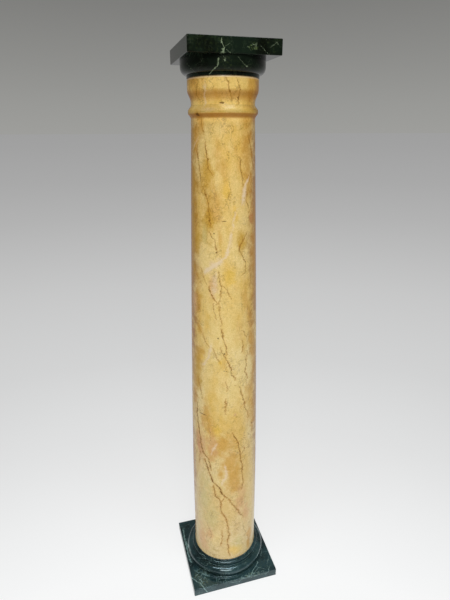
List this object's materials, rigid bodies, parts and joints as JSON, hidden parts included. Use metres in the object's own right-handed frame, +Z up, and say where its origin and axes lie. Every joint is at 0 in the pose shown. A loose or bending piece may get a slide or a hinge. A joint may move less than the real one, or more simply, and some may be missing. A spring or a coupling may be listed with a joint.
{
  "type": "doric column",
  "caption": "Free-standing marble display column: square dark green plinth with round mouldings, honey-yellow tapering shaft with neck mouldings, dark green echinus and square abacus.",
  "frame": {"origin": "middle of the plinth's underside, on the floor", "axes": "+Z up along the column's axis; X and Y square to the sides of the plinth and the abacus"},
  "size_m": [0.3, 0.3, 1.71],
  "materials": {
    "green_marble_base": "polished dark green serpentine marble with pale veins",
    "yellow_marble": "polished honey-yellow marble with rust-brown cracks, ochre patches and pale cloudy veins",
    "green_marble_capital": "polished dark green serpentine marble with pale veins"
  },
  "bodies": {
    "root": {"base": "green_marble_base", "shaft": "yellow_marble", "capital": "green_marble_capital"}
  },
  "joints": []
}
